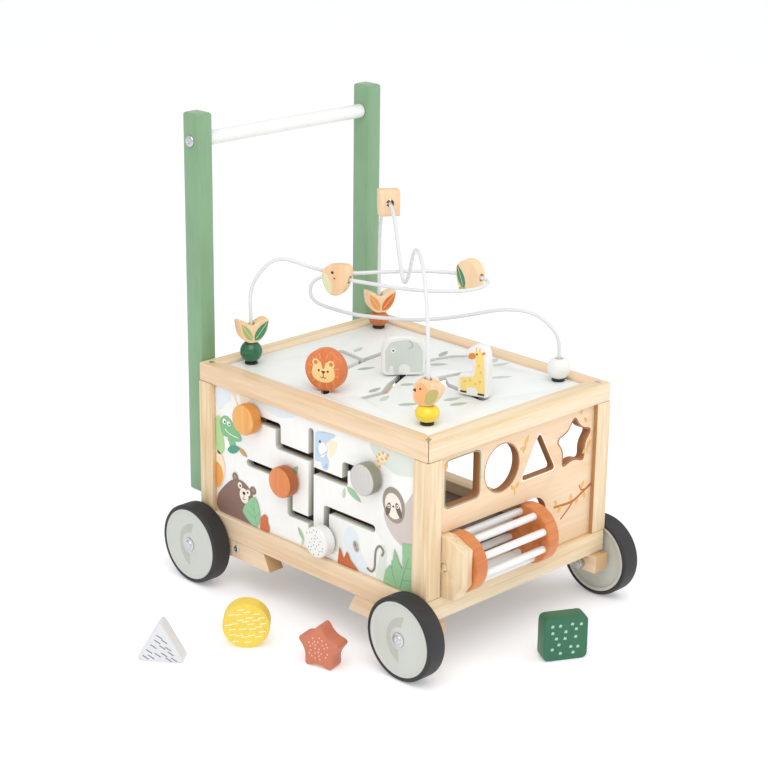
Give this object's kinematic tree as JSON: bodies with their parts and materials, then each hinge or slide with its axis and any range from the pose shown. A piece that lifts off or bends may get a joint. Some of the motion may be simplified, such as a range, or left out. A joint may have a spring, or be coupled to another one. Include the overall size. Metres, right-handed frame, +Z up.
{
  "type": "baby walker",
  "caption": "Wooden push-along baby walker: a box on wheels with a push handle, bead maze, sliding maze panel, shape sorter, rattle drum and loose sorter blocks.",
  "frame": {"origin": "on the floor, under the middle of the box round the walker and its four loose sorter blocks", "axes": "+Z up; -Y towards the shape sorter and drum end; +Y towards the push handle; -X towards the sliding maze side"},
  "size_m": [0.48, 0.4592, 0.509],
  "materials": {
    "pine": "bare pine, clear lacquer",
    "tyre": "soft black rubber",
    "wheel_grey": "grey painted wood, satin",
    "bolt_steel": "nickel plated",
    "floor_board": "thin ply",
    "printed_board": "white printed board, satin",
    "birch_ply": "clear lacquered ply",
    "orange_stain": "orange stained wood",
    "green_paint": "sage green paint, satin",
    "white_paint": "white paint, satin",
    "coated_wire": "white powder coat",
    "amber_stain": "amber stained wood",
    "grey_paint": "grey paint, satin",
    "green_gloss": "green lacquer, gloss",
    "rust_stain": "rust stained wood",
    "yellow_paint": "yellow paint",
    "bead_wood": "bare wood with printed faces",
    "clay_paint": "terracotta paint",
    "moss_paint": "dark green paint"
  },
  "bodies": {
    "frame": {"top_rail_front": "pine", "bottom_rail_front": "pine", "top_rail_right": "pine", "bottom_rail_right": "pine", "top_rail_rear": "pine", "bottom_rail_rear": "pine", "top_rail_left": "pine", "bottom_rail_left": "pine", "post_front_left": "pine", "wheel_block_front_left": "pine", "wheel_bolt_front_left": "bolt_steel", "post_front_right": "pine", "wheel_block_front_right": "pine", "wheel_bolt_front_right": "bolt_steel", "post_rear_left": "pine", "wheel_block_rear_left": "pine", "wheel_bolt_rear_left": "bolt_steel", "post_rear_right": "pine", "wheel_block_rear_right": "pine", "wheel_bolt_rear_right": "bolt_steel", "floor_panel": "floor_board", "top_panel": "printed_board", "maze_panel": "printed_board", "shape_panel": "birch_ply", "drum_cradle": "pine", "handle_post_left": "green_paint", "handle_post_right": "green_paint", "handle_rod": "white_paint", "loop_wire": "coated_wire", "arch_wire": "coated_wire"},
    "wheel_front_left": {"tyre_front_left": "tyre", "wheel_disc_front_left": "wheel_grey"},
    "wheel_front_right": {"tyre_front_right": "tyre", "wheel_disc_front_right": "wheel_grey"},
    "wheel_rear_left": {"tyre_rear_left": "tyre", "wheel_disc_rear_left": "wheel_grey"},
    "wheel_rear_right": {"tyre_rear_right": "tyre", "wheel_disc_rear_right": "wheel_grey"},
    "drum_cage": {"drum_cage": "orange_stain"},
    "knob_amber": {"knob_amber": "amber_stain"},
    "knob_orange": {"knob_orange": "orange_stain"},
    "knob_grey": {"knob_grey": "grey_paint"},
    "knob_dotted": {"knob_dotted": "white_paint"},
    "lion_slider": {"lion_slider": "orange_stain"},
    "elephant_slider": {"elephant_slider": "white_paint"},
    "giraffe_slider": {"giraffe_slider": "white_paint"},
    "green_ball": {"green_ball": "green_gloss"},
    "green_leaf_bead": {"green_leaf_bead": "bead_wood"},
    "rust_ball": {"rust_ball": "rust_stain"},
    "orange_leaf_bead": {"orange_leaf_bead": "bead_wood"},
    "yellow_ball": {"yellow_ball": "yellow_paint"},
    "small_bird_bead": {"small_bird_bead": "bead_wood"},
    "white_ball": {"white_ball": "white_paint"},
    "loop_bird_bead": {"loop_bird_bead": "bead_wood"},
    "loop_leaf_bead": {"loop_leaf_bead": "bead_wood"},
    "arch_bead": {"arch_bead": "bead_wood"},
    "sorter_triangle": {"sorter_triangle": "white_paint"},
    "sorter_disc": {"sorter_disc": "yellow_paint"},
    "sorter_star": {"sorter_star": "clay_paint"},
    "sorter_square": {"sorter_square": "moss_paint"}
  },
  "joints": [
    {"name": "front_left_wheel_spin", "type": "hinge", "parent": "frame", "child": "wheel_front_left", "pos_m": [-0.06996, -0.13407, 0.0437], "axis": [1, 0, 0], "continuous": true},
    {"name": "front_right_wheel_spin", "type": "hinge", "parent": "frame", "child": "wheel_front_right", "pos_m": [0.22604, -0.13407, 0.0437], "axis": [1, 0, 0], "continuous": true},
    {"name": "rear_left_wheel_spin", "type": "hinge", "parent": "frame", "child": "wheel_rear_left", "pos_m": [-0.06996, 0.18593, 0.0437], "axis": [1, 0, 0], "continuous": true},
    {"name": "rear_right_wheel_spin", "type": "hinge", "parent": "frame", "child": "wheel_rear_right", "pos_m": [0.22604, 0.18593, 0.0437], "axis": [1, 0, 0], "continuous": true},
    {"name": "drum_spin", "type": "hinge", "parent": "frame", "child": "drum_cage", "pos_m": [0.04054, -0.15007, 0.112], "axis": [1, 0, 0], "continuous": true},
    {"name": "knob_amber_slide", "type": "slide", "parent": "frame", "child": "knob_amber", "axis": [0, -1, 0], "range_m": [0, 0.038]},
    {"name": "knob_orange_slide", "type": "slide", "parent": "frame", "child": "knob_orange", "axis": [0, 1, 0], "range_m": [0, 0.062]},
    {"name": "knob_grey_slide", "type": "slide", "parent": "frame", "child": "knob_grey", "axis": [0, 1, 0], "range_m": [0, 0.038]},
    {"name": "knob_dotted_slide", "type": "slide", "parent": "frame", "child": "knob_dotted", "axis": [0, 0, 1], "range_m": [0, 0.031]},
    {"name": "lion_slide", "type": "slide", "parent": "frame", "child": "lion_slider", "axis": [0.8429, 0.538, 0], "range_m": [0, 0.045]},
    {"name": "elephant_slide", "type": "slide", "parent": "frame", "child": "elephant_slider", "axis": [0.9176, 0.3976, 0], "range_m": [-0.028, 0.028]},
    {"name": "giraffe_slide", "type": "slide", "parent": "frame", "child": "giraffe_slider", "axis": [0.1322, 0.9912, 0], "range_m": [0, 0.045]},
    {"name": "green_ball_slide", "type": "slide", "parent": "frame", "child": "green_ball", "axis": [0, 0, 1], "range_m": [0, 0.015]},
    {"name": "green_leaf_slide", "type": "slide", "parent": "green_ball", "child": "green_leaf_bead", "axis": [0, 0, 1], "range_m": [0, 0.012]},
    {"name": "rust_ball_slide", "type": "slide", "parent": "frame", "child": "rust_ball", "axis": [0, 0, 1], "range_m": [0, 0.025]},
    {"name": "orange_leaf_slide", "type": "slide", "parent": "rust_ball", "child": "orange_leaf_bead", "axis": [0, 0, 1], "range_m": [0, 0.03]},
    {"name": "yellow_ball_slide", "type": "slide", "parent": "frame", "child": "yellow_ball", "axis": [0, 0, 1], "range_m": [0, 0.01]},
    {"name": "small_bird_slide", "type": "slide", "parent": "yellow_ball", "child": "small_bird_bead", "axis": [0, 0, 1], "range_m": [0, 0.012]},
    {"name": "white_ball_slide", "type": "slide", "parent": "frame", "child": "white_ball", "axis": [0, 0, 1], "range_m": [0, 0.012]},
    {"name": "loop_bird_slide", "type": "slide", "parent": "frame", "child": "loop_bird_bead", "axis": [0.3754, -0.9264, -0.0312], "range_m": [0, 0.03]},
    {"name": "loop_leaf_turn", "type": "hinge", "parent": "frame", "child": "loop_leaf_bead", "pos_m": [0.06274, -0.02637, 0.345], "axis": [0, 0, 1], "range_deg": [0, 30]},
    {"name": "arch_bead_turn", "type": "hinge", "parent": "frame", "child": "arch_bead", "pos_m": [0.13669, 0.10371, 0.332], "axis": [0.8093, -0.5874, 0], "range_deg": [-40, 40]},
    {"name": "sorter_triangle_lift", "type": "slide", "parent": "frame", "child": "sorter_triangle", "axis": [0, 0, 1], "range_m": [0, 0.05]},
    {"name": "sorter_disc_lift", "type": "slide", "parent": "frame", "child": "sorter_disc", "axis": [0, 0, 1], "range_m": [0, 0.05]},
    {"name": "sorter_star_lift", "type": "slide", "parent": "frame", "child": "sorter_star", "axis": [0, 0, 1], "range_m": [0, 0.05]},
    {"name": "sorter_square_lift", "type": "slide", "parent": "frame", "child": "sorter_square", "axis": [0, 0, 1], "range_m": [0, 0.05]}
  ]
}
